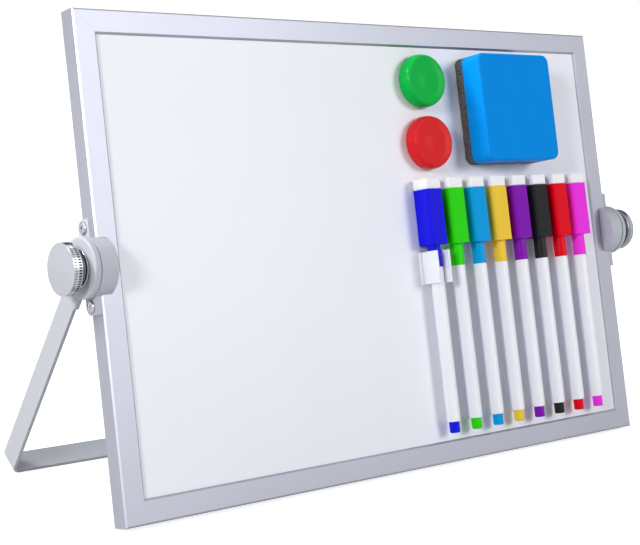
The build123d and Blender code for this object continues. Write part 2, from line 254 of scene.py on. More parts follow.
class Shader(Nodes):
    """A material's node tree, with the patterns that the finishes share."""

    def __init__(self, name: str) -> None:
        """Start a material that holds one principled shader."""
        self.material = bpy.data.materials.new(name)
        self.material.use_nodes = True
        super().__init__(self.material.node_tree)
        self.surface = self.node("ShaderNodeBsdfPrincipled")
        self.output = self.node("ShaderNodeOutputMaterial", {0: self.surface.outputs[0]})

    def set(self, **values: object) -> None:
        """Set the principled shader's sockets; an underscore stands for a space."""
        for key, value in values.items():
            self.feed(self.surface.inputs[key.replace("_", " ")], value)

    def coordinates(
        self, scale: Sequence[float] = (1, 1, 1), turn: float = 0.0, centre: Triple = (0, 0, 0)
    ) -> Socket:
        """Read the object's own coordinates.

        Args:
            scale: How much a pattern is repeated along each axis.
            turn: Turn about x that brings the board's frame upright, in radians.
            centre: The point that becomes the pattern's origin.

        Returns:
            The socket with the coordinates.
        """
        source = self.add("ShaderNodeTexCoord", output="Object")
        centred = self.add("ShaderNodeVectorMath", {0: source, 1: centre}, operation="SUBTRACT")
        turned = self.add("ShaderNodeMapping", {0: centred, "Rotation": (turn, 0, 0)})
        return self.add("ShaderNodeVectorMath", {0: turned, 1: scale}, operation="MULTIPLY")

    def length(self, vector: Socket) -> Socket:
        """Return the length of a vector."""
        return self.add("ShaderNodeVectorMath", {0: vector}, "Value", operation="LENGTH")

    def noise(
        self, vector: Socket, scale: float, detail: float = 3.0, roughness: float = 0.55
    ) -> Socket:
        """Add a noise pattern; scale is in repeats for each metre."""
        values = {"Scale": scale, "Detail": detail, "Roughness": roughness, "Vector": vector}
        return self.add("ShaderNodeTexNoise", values, "Fac")

    def spread(self, value: Socket, source: Span, target: Span) -> Socket:
        """Map a value from one range to another, and stay inside it."""
        labels = ("From Min", "From Max", "To Min", "To Max")
        values = dict(zip(labels, (*source, *target)))
        return self.add("ShaderNodeMapRange", {**values, "Value": value}, "Result")

    def sum(self, first: Socket, second: Socket) -> Socket:
        """Add two values."""
        return self.math("ADD", first, second)

    def blend(self, share: Socket, first: Colour, second: Colour) -> Socket:
        """Mix two colours by a share."""
        values = {"Factor": share, "A": first, "B": second}
        return self.add("ShaderNodeMix", values, "Result", data_type="RGBA")

    def relief(self, height: Socket, depth: float, under: Socket | None = None) -> Socket:
        """Turn a height pattern into a surface relief.

        Args:
            height: The pattern, from 0 to 1.
            depth: The height of a full step.
            under: A relief that this one lies on.

        Returns:
            The normal.
        """
        values = {"Distance": depth, "Height": height}
        if under is not None:
            values["Normal"] = under
        return self.add("ShaderNodeBump", values, "Normal")

    def soft_edge(self, radius: float) -> Socket:
        """Round the edges in the light by a radius, as a tumbled or moulded edge is."""
        return self.add("ShaderNodeBevel", {"Radius": radius}, "Normal", samples=4)


@dataclass(frozen=True)
class Finish:
    """What every finish has: a name, a colour, how matt it is, and how far these two vary.

    The tones and the matts are factors on the colour and on the roughness. A pattern moves the
    roughness from one factor to the other while it runs from one limit to the other.
    """

    name: str
    colour: Colour
    roughness: float
    tones: ClassVar[Span] = (0.97, 1.03)
    matts: ClassVar[Span] = (0.85, 1.15)
    limits: ClassVar[Span] = (0.3, 0.7)

    def make(self) -> Material:
        """Build the material."""
        shader = Shader(self.name)
        shader.set(Base_Color=self.colour, Roughness=self.roughness)
        self.detail(shader)
        return shader.material

    def detail(self, shader: Shader) -> None:
        """Add what sets this finish apart."""

    def tone(self, shader: Shader, pattern: Socket) -> Socket:
        """Let a pattern vary the colour."""
        return shader.blend(pattern, *(shade(self.colour, part) for part in self.tones))

    def rough(self, shader: Shader, pattern: Socket) -> Socket:
        """Let a pattern vary the roughness."""
        low, high = self.matts
        return shader.spread(pattern, self.limits, (self.roughness * low, self.roughness * high))


@dataclass(frozen=True)
class BrushedMetal(Finish):
    """Anodised or plated metal with a fine grain in one direction."""

    grain: Grain = Grain.ACROSS
    turn: float = 0.0
    metallic: float = 1.0
    grain_depth: float = 0.004 * MM
    grain_pitch: float = 9000.0
    grain_stretch: float = 0.012
    drift_pitch: float = 14.0
    edge: float = 0.15 * MM
    matts: ClassVar[Span] = (0.86, 1.14)
    limits: ClassVar[Span] = (0.6, 1.4)

    def detail(self, shader: Shader) -> None:
        """Add the grain, a slow drift of tone and softened edges."""
        scale = [1.0, 1.0, 1.0]
        scale[self.grain.value] = self.grain_stretch
        streaks = shader.noise(shader.coordinates(scale, self.turn), self.grain_pitch, detail=2)
        drift = shader.noise(shader.coordinates(), self.drift_pitch)
        shader.set(
            Base_Color=self.tone(shader, drift),
            Roughness=self.rough(shader, shader.sum(streaks, drift)),
            Metallic=self.metallic,
            Normal=shader.relief(streaks, self.grain_depth, shader.soft_edge(self.edge)),
        )


@dataclass(frozen=True)
class TurnedMetal(Finish):
    """Metal turned on a lathe, with fine rings about the pivot axis."""

    centre: Triple = (0.0, 0.0, 0.0)
    metallic: float = 1.0
    ring_pitch: float = 5200.0
    ring_depth: float = 0.003 * MM
    tones: ClassVar[Span] = (0.96, 1.04)

    def detail(self, shader: Shader) -> None:
        """Add the rings and their scatter of tone."""
        radius = shader.length(shader.coordinates((0.0, 1.0, 1.0), centre=self.centre))
        place = shader.add("ShaderNodeCombineXYZ", {0: radius})
        rings = shader.noise(place, self.ring_pitch, detail=2)
        shader.set(
            Base_Color=self.tone(shader, rings),
            Roughness=self.rough(shader, rings),
            Metallic=self.metallic,
            Normal=shader.relief(rings, self.ring_depth),
        )


@dataclass(frozen=True)
class PaintedMetal(Finish):
    """Sprayed paint with a fine orange-peel skin and a metallic fleck."""

    metallic: float = 0.0
    fleck_pitch: float = 12000.0
    fleck_limits: Span = (0.35, 0.65)
    peel_pitch: float = 900.0
    peel_depth: float = 0.012 * MM
    drift_pitch: float = 18.0
    edge: float = 0.25 * MM
    tones: ClassVar[Span] = (0.94, 1.06)
    matts: ClassVar[Span] = (0.9, 1.1)

    def detail(self, shader: Shader) -> None:
        """Add the skin, the fleck and softened edges."""
        place = shader.coordinates()
        peel = shader.noise(place, self.peel_pitch, detail=2)
        fleck = shader.noise(place, self.fleck_pitch, detail=1)
        shader.set(
            Base_Color=self.tone(shader, shader.spread(fleck, self.fleck_limits, (0, 1))),
            Roughness=self.rough(shader, shader.noise(place, self.drift_pitch)),
            Metallic=self.metallic,
            Normal=shader.relief(peel, self.peel_depth, shader.soft_edge(self.edge)),
        )


@dataclass(frozen=True)
class Enamel(Finish):
    """Glossy white enamel on sheet steel, wiped many times."""

    gloss: float = 0.3
    wave_pitch: float = 220.0
    wave_depth: float = 0.006 * MM
    haze_pitch: float = 60.0
    haze_stretch: Triple = (1, 1, 0.25)
    tones: ClassVar[Span] = (0.985, 1.0)
    matts: ClassVar[Span] = (0.85, 1.2)
    limits: ClassVar[Span] = (0.35, 0.7)

    def detail(self, shader: Shader) -> None:
        """Add the skin's slow waves and the faint haze that wiping leaves."""
        waves = shader.noise(shader.coordinates(), self.wave_pitch, detail=2)
        haze = shader.noise(shader.coordinates(self.haze_stretch), self.haze_pitch, detail=4)
        shader.set(
            Base_Color=self.tone(shader, haze),
            Roughness=self.rough(shader, haze),
            Normal=shader.relief(waves, self.wave_depth),
            Specular_IOR_Level=self.gloss,
        )


@dataclass(frozen=True)
class MouldedPlastic(Finish):
    """Moulded plastic with a spark-eroded or polished skin."""

    grain_pitch: float = 4200.0
    grain_depth: float = 0.01 * MM
    wave_pitch: float = 180.0
    wave_depth: float = 0.006 * MM
    drift_pitch: float = 35.0
    edge: float = 0.2 * MM
    gloss: float = 0.3
    limits: ClassVar[Span] = (0.7, 1.3)

    def detail(self, shader: Shader) -> None:
        """Add the skin's grain, slow sink marks and softened edges."""
        place = shader.coordinates()
        grain = shader.noise(place, self.grain_pitch, detail=2)
        waves = shader.noise(place, self.wave_pitch, detail=1)
        drift = shader.noise(place, self.drift_pitch)
        base = shader.relief(waves, self.wave_depth, shader.soft_edge(self.edge))
        shader.set(
            Base_Color=self.tone(shader, drift),
            Roughness=self.rough(shader, shader.sum(grain, drift)),
            Normal=shader.relief(grain, self.grain_depth, base),
            Specular_IOR_Level=self.gloss,
        )


@dataclass(frozen=True)
class Felt(Finish):
    """Pressed felt of two mixed fibre tones."""

    fleck: Colour = (0.5, 0.5, 0.5)
    fleck_share: float = 0.35
    nap: float = 0.12 * MM
    fibre_pitch: float = 2600.0
    fibre_contrast: float = 0.7
    tuft_pitch: float = 600.0
    mixing: Span = (-0.12, 0.02)
    gloss: float = 0.1
    sheen: float = 0.1
    sheen_roughness: float = 0.6

    def detail(self, shader: Shader) -> None:
        """Add the mixed fibres, the nap's relief and its sheen."""
        place = shader.coordinates()
        fibres = shader.noise(place, self.fibre_pitch, detail=4, roughness=self.fibre_contrast)
        tufts = shader.noise(place, self.tuft_pitch)
        low, high = (1 - self.fleck_share + part for part in self.mixing)
        share = shader.spread(fibres, (low, high), (0, 1))
        shader.set(
            Base_Color=shader.blend(share, self.colour, self.fleck),
            Normal=shader.relief(shader.sum(fibres, tufts), self.nap),
            Specular_IOR_Level=self.gloss,
            Sheen_Weight=self.sheen,
            Sheen_Roughness=self.sheen_roughness,
        )


@dataclass(frozen=True)
class Foam(Finish):
    """Dense moulded foam with a closed skin and fine pores."""

    pore_pitch: float = 2400.0
    pore_depth: float = 0.02 * MM
    drift_pitch: float = 90.0
    edge: float = 0.4 * MM
    gloss: float = 0.05
    tones: ClassVar[Span] = (0.94, 1.06)
    matts: ClassVar[Span] = (0.9, 1.1)

    def detail(self, shader: Shader) -> None:
        """Add the pores and the skin's mottling."""
        place = shader.coordinates()
        values = {"Scale": self.pore_pitch, "Vector": place}
        pores = shader.add("ShaderNodeTexVoronoi", values, "Distance")
        drift = shader.noise(place, self.drift_pitch)
        shader.set(
            Base_Color=self.tone(shader, drift),
            Roughness=self.rough(shader, drift),
            Normal=shader.relief(pores, self.pore_depth, shader.soft_edge(self.edge)),
            Specular_IOR_Level=self.gloss,
        )


@dataclass(frozen=True)
class FibreBoard(Finish):
    """Pressed wood fibre in the middle of the panel."""

    chip_pitch: float = 700.0
    chip_stretch: Triple = (1, 3, 1)
    chip_contrast: float = 0.7
    chip_depth: float = 0.05 * MM
    tones: ClassVar[Span] = (0.7, 1.25)

    def detail(self, shader: Shader) -> None:
        """Add chips of two tones."""
        place = shader.coordinates(self.chip_stretch)
        chips = shader.noise(place, self.chip_pitch, detail=5, roughness=self.chip_contrast)
        relief = shader.relief(chips, self.chip_depth)
        shader.set(Base_Color=self.tone(shader, chips), Normal=relief)


class Finishes:
    """Every finish of the easel, made once."""

    def __init__(self, board: BoardFrame) -> None:
        """Make the finishes.

        Args:
            board: The board's frame, which the rails' grain and the turned rings follow.
        """
        rail, lean, pivot = linear(165, 167, 178), board.lean, tuple(board.pivot)
        self.rail_across, self.rail_upright = (
            BrushedMetal(f"rail_{grain.word}", rail, 0.4, grain, lean, 0.85).make()
            for grain in Grain
        )
        self.enamel = Enamel("white_enamel", linear(240, 242, 250), 0.22).make()
        self.core = FibreBoard("core_fibre", (0.32, 0.22, 0.13), 0.8).make()
        self.key = MouldedPlastic("key_plastic", (0.02, 0.02, 0.022), 0.5).make()
        self.pivot_grey = MouldedPlastic("pivot_grey", linear(181, 184, 193), 0.45).make()
        self.stand = PaintedMetal("stand_silver", linear(167, 170, 176), 0.45, 0.15).make()
        self.knob = TurnedMetal("knob_metal", linear(186, 188, 196), 0.24, pivot).make()
        self.knob_face = TurnedMetal("knob_face", linear(136, 137, 145), 0.5, pivot, 0.3).make()
        # Near-black metal for the faces inside the knob's notches and between its ribs: painted
        # shade that stands in for the shadow in these cuts.
        self.knob_groove = TurnedMetal("knob_groove", linear(52, 53, 58), 0.6, pivot, 0.4).make()
        self.collar = TurnedMetal("collar_chrome", linear(176, 179, 188), 0.16, pivot).make()
        # The waist is a rougher, half-metallic finish, and its dark colour is painted shade that
        # stands in for the dark reflection on the waist.
        waist = linear(104, 106, 113)
        self.collar_waist = TurnedMetal("collar_waist", waist, 0.42, pivot, 0.55).make()
        chrome = linear(176, 178, 184)
        self.screw = BrushedMetal("screw_chrome", chrome, 0.14, grain_depth=0.0).make()
        self.brass = TurnedMetal("insert_brass", (0.72, 0.5, 0.2), 0.3, pivot).make()
        iron = (0.05, 0.05, 0.052)
        self.magnet_iron = BrushedMetal("magnet_iron", iron, 0.5, metallic=0.4).make()
        self.magnet_green = self.gloss("magnet_green", linear(0, 176, 68), 0.16)
        self.magnet_red = self.gloss("magnet_red", linear(216, 34, 38), 0.16)
        self.eraser_blue = Foam("eraser_blue", linear(0, 138, 226), 0.42).make()
        sole, sole_fleck = linear(38, 38, 42), linear(122, 120, 120)
        self.eraser_felt = Felt("eraser_felt", sole, 0.95, sole_fleck, 0.42).make()
        pad, pad_fleck = linear(236, 237, 243), linear(250, 250, 252)
        self.pad_felt = Felt("pad_felt", pad, 0.95, pad_fleck, 0.5, 0.05 * MM).make()
        self.white = self.gloss("white_plastic", linear(239, 240, 247), 0.2, 0.3)
        self.inks, self.nibs = {}, {}
        for ink in Ink:
            colour = linear(*ink.value)
            nib = Felt(f"nib_{ink.word}", colour, 0.7, colour, 0.5, 0.03 * MM)
            self.inks[ink] = self.gloss(f"ink_{ink.word}", colour, 0.2)
            self.nibs[ink] = nib.make()

    @staticmethod
    def gloss(name: str, colour: Colour, roughness: float, mirror: float = 0.1) -> Material:
        """Make a glossy injection-moulded plastic."""
        return MouldedPlastic(name, colour, roughness, grain_depth=0.0015 * MM, gloss=mirror).make()


def dress(material: Material, *names: str) -> None:
    """Give CAD nodes a finish.

    Args:
        material: The finish that fills every slot of theirs.
        names: The nodes.
    """
    for name in names:
        node = frame["nodes"][name]
        if not node.material_slots:
            node.data.materials.append(material)
        for slot in node.material_slots:
            slot.material = material
        LOG.info("dressed %s with %s", name, material.name)


def new_object(name: str, data: bpy.types.ID) -> Object:
    """Link an object for a mesh, a lamp or a camera into the scene."""
    made = bpy.data.objects.new(name, data)
    bpy.context.scene.collection.objects.link(made)
    return made


def solid(name: str, form: Form) -> Object:
    """Turn a working mesh into an object.

    Args:
        name: The object's name.
        form: The working mesh, which is used up.

    Returns:
        The object, linked into the scene.
    """
    mesh = bpy.data.meshes.new(name)
    form.to_mesh(mesh)
    form.free()
    return new_object(name, mesh)


def bake(piece: Object) -> None:
    """Turn a piece's live modifiers into its plain mesh.

    Args:
        piece: The object, which keeps its name and loses its modifiers.
    """
    graph = bpy.context.evaluated_depsgraph_get()
    mesh = bpy.data.meshes.new_from_object(piece.evaluated_get(graph))
    piece.modifiers.clear()
    piece.data = mesh
    mesh.name = piece.name


def install(
    piece: Object, place: Matrix, body: str,
    replaced: Sequence[str] = (), crease: float = CREASE,
) -> None:
    """Put a finished piece in its place, and tie it to its body and its nodes.

    Args:
        piece: The piece, whose object stays at the origin.
        place: Where it goes.
        body: The CAD body that carries it.
        replaced: The CAD nodes that it replaces.
        crease: The angle past which an edge stays sharp.
    """
    mesh = piece.data
    mesh.transform(place)
    mesh.shade_smooth()
    mesh.set_sharp_from_angle(angle=crease)
    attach(piece, body)
    if replaced:
        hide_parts(*replaced)
    LOG.info("built %s on %s with %d faces", piece.name, body, len(mesh.polygons))


def arc(centre: Span, radius: float, start: float, end: float, steps: int) -> Profile:
    """Work out a round stretch of a profile.

    Args:
        centre: The middle of the round.
        radius: Its radius.
        start: The angle at which it starts, in degrees.
        end: The angle at which it ends.
        steps: How many straight pieces stand for it.

    Returns:
        Its points, one more than the steps.
    """
    angles = (math.radians(start + (end - start) * step / steps) for step in range(steps + 1))
    x, y = centre
    return [(x + radius * math.cos(angle), y + radius * math.sin(angle)) for angle in angles]


def ring(
    form: Form, radius: float, height: float, count: int, shift: float = 0.0
) -> list[bmesh.types.BMVert]:
    """Add a level ring of points.

    Args:
        form: The working mesh.
        radius: The ring's radius.
        height: How high it lies.
        count: How many points it has.
        shift: How far along x its middle lies from the z axis.

    Returns:
        The points.
    """
    points = []
    for step in range(count):
        angle = 2 * math.pi * step / count
        spot = (radius * math.cos(angle) + shift, radius * math.sin(angle), height)
        points.append(form.verts.new(spot))
    return points


def skin(form: Form, rings: Sequence[Sequence[bmesh.types.BMVert]]) -> None:
    """Join rings of points with faces.

    Args:
        form: The working mesh.
        rings: The rings, with as many points each; a pole is one point that is repeated.
    """
    for lower, upper in zip(rings, rings[1:]):
        for step in range(len(lower)):
            after = (step + 1) % len(lower)
            corners = dict.fromkeys((lower[step], lower[after], upper[after], upper[step]))
            if len(corners) > 2:
                form.faces.new(tuple(corners))


def lathe(name: str, profile: Profile, segments: int, *materials: Material) -> Object:
    """Turn a profile about the z axis.

    Args:
        name: The object's name.
        profile: Points of radius and height, from the lower pole to the upper one.
        segments: How many faces go round.
        materials: Its finishes.

    Returns:
        A closed body whose faces point outwards; a profile that ends where it starts makes a ring.
    """
    form = bmesh.new()
    rings = []
    for radius, height in profile:
        if rings and (radius, height) == profile[0]:
            rings.append(rings[0])
        elif radius < SLACK:
            rings.append([form.verts.new((0, 0, height))] * segments)
        else:
            rings.append(ring(form, radius, height, segments))
    skin(form, rings)
    bmesh.ops.recalc_face_normals(form, faces=form.faces)
    piece = solid(name, form)
    for material in materials:
        piece.data.materials.append(material)
    return piece


class GeometryTree(Nodes):
    """A Geometry Nodes tree with named inputs and a material, run once on a piece."""

    def __init__(self, name: str, inputs: dict[str, str]) -> None:
        """Start a tree.

        Args:
            name: The tree's name.
            inputs: The type of each named input.
        """
        super().__init__(bpy.data.node_groups.new(name, "GeometryNodeTree"))
        sockets = {"Geometry": "Geometry", **inputs, "Material": "Material"}
        add = self.tree.interface.new_socket
        for label, kind in sockets.items():
            add(label, in_out="INPUT", socket_type=f"NodeSocket{kind}")
        add("Geometry", in_out="OUTPUT", socket_type="NodeSocketGeometry")
        self.inputs = self.node("NodeGroupInput").outputs

    def scatter(
        self, points: Socket, piece: Socket, turn: Socket, scale: Socket | Triple = (1, 1, 1)
    ) -> Socket:
        """Set a piece on points, turned and scaled."""
        values = {"Points": points, "Instance": piece, "Rotation": turn, "Scale": scale}
        return self.add("GeometryNodeInstanceOnPoints", values)

    def finish(self, *geometry: Socket) -> None:
        """Join the geometry, realize it, give it its finish and put it out.

        Args:
            geometry: The outputs that are joined.
        """
        join = self.node("GeometryNodeJoinGeometry")
        for source in geometry:
            self.feed(join.inputs[0], source)
        real = self.add("GeometryNodeRealizeInstances", {0: join.outputs[0]})
        values = {"Geometry": real, "Material": self.inputs["Material"]}
        self.node("NodeGroupOutput", {0: self.add("GeometryNodeSetMaterial", values)})

    def run(self, piece: Object, values: dict[str, object]) -> None:
        """Run the tree on a piece and keep its result as a plain mesh.

        Args:
            piece: The object that the tree starts from.
            values: What each named input gets.
        """
        modifier = piece.modifiers.new(self.tree.name, "NODES")
        modifier.node_group = self.tree
        for item in self.tree.interface.items_tree:
            if item.in_out == "INPUT" and item.name in values:
                modifier[item.identifier] = values[item.name]
        bpy.context.view_layer.update()
        bake(piece)


def rim_tree() -> GeometryTree:
    """Build the tree that sets blocks round the rim of a turned body.

    Returns:
        A tree whose inputs are the count, and the radius, size and height of two rows of blocks.
    """
    rows = ("Tooth", "Rib")
    kinds = {"Count": "Int"}
    for row in rows:
        kinds |= {f"{row} Radius": "Float", f"{row} Size": "Vector", f"{row} Height": "Float"}
    tree = GeometryTree("rim_rows", kinds)
    index = tree.add("GeometryNodeInputIndex")
    count = tree.inputs["Count"]
    parts = [tree.inputs["Geometry"]]
    for row in rows:
        radius, size = tree.inputs[f"{row} Radius"], tree.inputs[f"{row} Size"]
        spots = tree.add("GeometryNodeMeshCircle", {"Vertices": count, "Radius": radius})
        angle = tree.math("MULTIPLY", index, tree.math("DIVIDE", 2 * math.pi, count))
        turn = tree.add("ShaderNodeCombineXYZ", {"Z": angle})
        blocks = tree.scatter(spots, tree.add("GeometryNodeMeshCube", {"Size": size}), turn)
        lift = tree.add("ShaderNodeCombineXYZ", {"Z": tree.inputs[f"{row} Height"]})
        values = {"Geometry": blocks, "Translation": lift}
        parts.append(tree.add("GeometryNodeTransform", values))
    tree.finish(*parts)
    return tree


def fibre_tree() -> GeometryTree:
    """Build the tree that scatters loose fibres over a felt body.

    Returns:
        A tree whose inputs are the fibre, the number for each square metre, how far the fibres
        lean, and the seed.
    """
    shortest, longest = 0.5, 1.4
    kinds = {"Fibre": "Object", "Density": "Float", "Lean": "Float", "Seed": "Int"}
    tree = GeometryTree("loose_fibres", kinds)
    body, seed = tree.inputs["Geometry"], tree.inputs["Seed"]
    values = {"Mesh": body, "Density": tree.inputs["Density"], "Seed": seed}
    spots = tree.node("GeometryNodeDistributePointsOnFaces", values).outputs
    fibre = tree.add("GeometryNodeObjectInfo", {"Object": tree.inputs["Fibre"]}, "Geometry")
    bounds = {}
    for label, sign in (("Min", -1.0), ("Max", 1.0)):
        swing = tree.math("MULTIPLY", tree.inputs["Lean"], sign)
        values = {"X": swing, "Y": swing, "Z": sign * math.pi}
        bounds[label] = tree.add("ShaderNodeCombineXYZ", values)
    bounds["Seed"] = seed
    lean = tree.add("FunctionNodeRandomValue", bounds, data_type="FLOAT_VECTOR")
    values = {"Rotation": spots["Rotation"], "Rotate By": lean}
    turn = tree.add("FunctionNodeRotateRotation", values, rotation_space="LOCAL")
    values = {2: shortest, 3: longest, "Seed": seed}
    size = tree.add("FunctionNodeRandomValue", values, 1, data_type="FLOAT")
    tree.finish(body, tree.scatter(spots["Points"], fibre, turn, size))
    return tree


def screw_tree() -> GeometryTree:
    """Build the tree that sets one screw head at each point of a mesh.

    Returns:
        A tree whose input is the head; the points carry their turns.
    """
    tree = GeometryTree("screw_set", {"Head": "Object"})
    head = tree.add("GeometryNodeObjectInfo", {"Object": tree.inputs["Head"]}, "Geometry")
    kind, name = "GeometryNodeInputNamedAttribute", {"Name": "turn"}
    turn = tree.add(kind, name, "Attribute", data_type="FLOAT_VECTOR")
    tree.finish(tree.scatter(tree.inputs["Geometry"], head, turn))
    return tree


@dataclass
class Part:
    """A sub-assembly, with the frame that it is set out in and the finishes that it takes."""

    board: BoardFrame
    finishes: Finishes


@dataclass
class Board(Part):
    """The frame's rails, the panel that they hold and the saddles on their sides."""

    screw_radius: float = 2.6 * MM
    screw_height: float = 0.95 * MM
    screw_round: float = 0.72 * MM
    screw_round_end: float = 78.0
    shank_radius: float = 1.35 * MM
    shank_length: float = 5.1 * MM
    recess_span: float = 2.7 * MM
    recess_width: float = 0.75 * MM
    recess_depth: float = 0.6 * MM
    recess_taper: Triple = (0.55, 0.7, 1.0)
    screw_reach: float = 15.4 * MM
    screw_turns: tuple[float, ...] = (12.0, 57.0, 34.0, 71.0)
    screw_segments: int = 40

    def build(self) -> None:
        """Dress the rails, the panel and the saddles, and make the screws."""
        finishes = self.finishes
        dress(finishes.rail_across, "frame_rail_top", "frame_rail_bottom")
        dress(finishes.rail_upright, "frame_rail_left", "frame_rail_right")
        dress(finishes.enamel, "front_sheet", "back_sheet")
        dress(finishes.core, "core_board")
        dress(finishes.key, "corner_keys")
        dress(finishes.pivot_grey, "saddle_left", "saddle_right")
        dress(finishes.brass, "pivot_inserts")
        self.screws()

    def screw_head(self) -> Object:
        """Build one pan head with its cross recess and shank, its seat at the origin.

        Returns:
            The screw, with z out of its head.
        """
        top, radius, edge = self.screw_height, self.screw_radius, self.screw_round
        shank, end = self.shank_radius, -self.shank_length
        profile = [(0, end), (shank, end), (shank, 0), (radius, 0)]
        profile += arc((radius - edge, top - edge), edge, 0, self.screw_round_end, steps=8)
        profile.append((0, top))
        head = lathe("screw_head", profile, self.screw_segments)
        cutter = bmesh.new()
        for angle in (0, 90):
            arm = bmesh.ops.create_cube(cutter, size=1.0)["verts"]
            size = (self.recess_span, self.recess_width, 2 * self.recess_depth)
            bmesh.ops.scale(cutter, vec=size, verts=arm)
            low = [vertex for vertex in arm if vertex.co.z < 0]
            bmesh.ops.scale(cutter, vec=self.recess_taper, verts=low)
            spin = Matrix.Rotation(math.radians(angle), 3, "Z")
            bmesh.ops.rotate(cutter, matrix=spin, verts=arm)
            bmesh.ops.translate(cutter, vec=(0, 0, top), verts=arm)
        tool = solid("screw_recess", cutter)
        cut = head.modifiers.new("recess", "BOOLEAN")
        cut.object = tool
        cut.use_self = True
        bpy.context.view_layer.update()
        bake(head)
        bpy.data.objects.remove(tool)
        return head

    def screws(self) -> None:
        """Set a screw head at each of the four ears."""
        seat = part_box("ear_screws")[1].x - self.screw_height
        points, turns = [], []
        ears = [(side.value, end) for side in Side for end in (-1, 1)]
        for (side, end), angle in zip(ears, self.screw_turns):
            points.append(self.board.place(side * seat, 0, end * self.screw_reach).translation)
            facing = Matrix.Rotation(side * math.pi / 2, 4, "Y")
            spin = Matrix.Rotation(math.radians(angle), 4, "Z")
            turns.append((self.board.turn @ facing @ spin).to_euler())
        mesh = bpy.data.meshes.new("ear_screw_heads")
        mesh.from_pydata(points, [], [])
        attribute = mesh.attributes.new("turn", "FLOAT_VECTOR", "POINT")
        for entry, turn in zip(attribute.data, turns):
            entry.vector = tuple(turn)
        piece = new_object("ear_screw_heads", mesh)
        head = self.screw_head()
        screw_tree().run(piece, {"Head": head, "Material": self.finishes.screw})
        bpy.data.objects.remove(head)
        install(piece, Matrix.Identity(4), "board", ["ear_screws"])


@dataclass
class Stand(Part):
    """The U-shaped bar with the hubs on its ends."""

    def build(self) -> None:
        """Dress the bar and its hubs."""
        dress(self.finishes.stand, "stand_bar")
        dress(self.finishes.pivot_grey, "hub_left", "hub_right")


@dataclass
class AxlePiece(Part):
    """A turned piece on one end of the pivot axis."""

    side: Side

    def span(self, node: str) -> Triple:
        """Return a CAD node's radius, and where it starts and ends along the axis."""
        low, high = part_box(node)
        inner, outer = (low.x, high.x) if self.side is Side.RIGHT else (-high.x, -low.x)
        return (high.z - low.z) / 2, inner, outer


@dataclass
class Collar(AxlePiece):
    """The collar between a hub and its knob: a bright round lip under a dark waist, whose darkness
    is painted shade.
    """

    lip: float = 0.36 * MM
    groove: float = 0.3 * MM
    waist_foot: float = 6.9 * MM
    waist_top: float = 6.15 * MM
    bore: float = 2.6 * MM
    top_round: float = 0.15 * MM
    segments: int = 128

    def profile(self, radius: float, height: float) -> Profile:
        """Return the collar's section, once round from the foot of its bore.

        Args:
            radius: The lip's radius.
            height: The collar's whole height.

        Returns:
            The section's points.
        """
        points: Profile = [(self.bore, 0.0)]
        points += arc((radius - self.lip, self.lip), self.lip, -90, 90, steps=12)
        points.append((self.waist_foot - self.groove, 2 * self.lip))
        points.append((self.waist_foot, 2 * self.lip + self.groove))
        edge = (self.waist_top - self.top_round, height - self.top_round)
        points += arc(edge, self.top_round, 0, 90, steps=4)
        return points + [(self.bore, height), (self.bore, 0.0)]

    def build(self) -> None:
        """Make the collar and put it on the hub's face."""
        node = f"collar_{self.side.word}"
        radius, inner, outer = self.span(node)
        profile = self.profile(radius, outer - inner)
        finishes = (self.finishes.collar, self.finishes.collar_waist)
        piece = lathe(f"turned_{node}", profile, self.segments, *finishes)
        # Faces above the lip take the waist's darkened finish, which is painted shade.
        for face in piece.data.polygons:
            if face.center.z > 2 * self.lip - SLACK:
                face.material_index = 1
        install(piece, self.board.axle(self.side, inner), node, [node])


